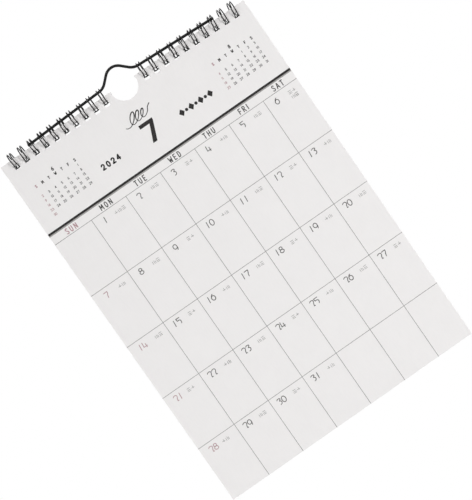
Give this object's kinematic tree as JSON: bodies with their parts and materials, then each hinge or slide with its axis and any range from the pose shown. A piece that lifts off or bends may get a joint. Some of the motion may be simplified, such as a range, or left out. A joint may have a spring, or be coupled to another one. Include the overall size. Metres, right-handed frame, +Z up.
{
  "type": "wall calendar",
  "caption": "Twin-loop bound wall calendar with a month page, turned pages behind it, a thumb cut and a wire hanger with an arch for a nail.",
  "frame": {"origin": "where the nail carries the hanger: the inner side of the arch at its highest point", "axes": "+X to the right along the binding as the reader sees it, +Z up, the shown month faces -Y"},
  "size_m": [0.206, 0.0122, 0.2999],
  "materials": {
    "hanger_wire": "gloss black coating",
    "binding_wire": "satin black coating",
    "paper": "matt, uncoated"
  },
  "bodies": {
    "hanger": {"hanger_wire": "hanger_wire"},
    "binding": {"left_binding_wire": "binding_wire", "right_binding_wire": "binding_wire"},
    "shown": {"shown_pages": "paper"},
    "turned": {"turned_pages": "paper"}
  },
  "joints": [
    {"name": "binding_swing", "type": "hinge", "parent": "hanger", "child": "binding", "pos_m": [0, 0, -0.0082], "axis": [-1, 0, 0], "range_deg": [-45, 45]},
    {"name": "shown_pages_lift", "type": "hinge", "parent": "binding", "child": "shown", "pos_m": [0, -0.00127, -0.01368], "axis": [-1, 0, 0], "range_deg": [0, 135]},
    {"name": "turned_pages_lift", "type": "hinge", "parent": "binding", "child": "turned", "pos_m": [0, 0.00137, -0.01368], "axis": [1, 0, 0], "range_deg": [0, 90]}
  ]
}
